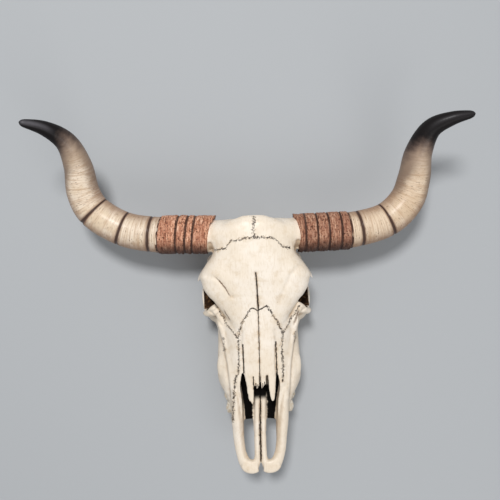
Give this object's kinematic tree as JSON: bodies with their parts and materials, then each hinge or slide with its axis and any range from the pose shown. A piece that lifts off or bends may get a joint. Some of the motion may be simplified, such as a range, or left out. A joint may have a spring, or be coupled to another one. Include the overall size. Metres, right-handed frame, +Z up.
{
  "type": "cast resin longhorn cow skull",
  "caption": "Painted cast-resin longhorn cow skull without a lower jaw, lying face up, with banded horns that sweep out, bend up and end in dark points.",
  "frame": {"origin": "on the ground, under the middle of the whole piece's box", "axes": "+Z up out of the animal's forehead as it lies face up, -Y towards the nose, +X to the animal's own left side"},
  "size_m": [0.809, 0.68, 0.231],
  "materials": {
    "bone": "satin painted cast resin, off-white with ochre stains and dark brown sutures",
    "tooth": "satin painted cast resin",
    "horn_base": "rough reddish brown, like bark",
    "horn": "satin cream with fine dark rings",
    "horn_tip": "glossy near-black, fading to brown"
  },
  "bodies": {
    "root": {"cranium": "bone", "upper_jaw": "bone", "nasal_left": "bone", "nasal_right": "bone", "incisive_left": "bone", "incisive_right": "bone", "horn_left_collar": "horn_base", "horn_left_shaft": "horn", "horn_left_tip": "horn_tip", "horn_right_collar": "horn_base", "horn_right_shaft": "horn", "horn_right_tip": "horn_tip"}
  },
  "joints": []
}
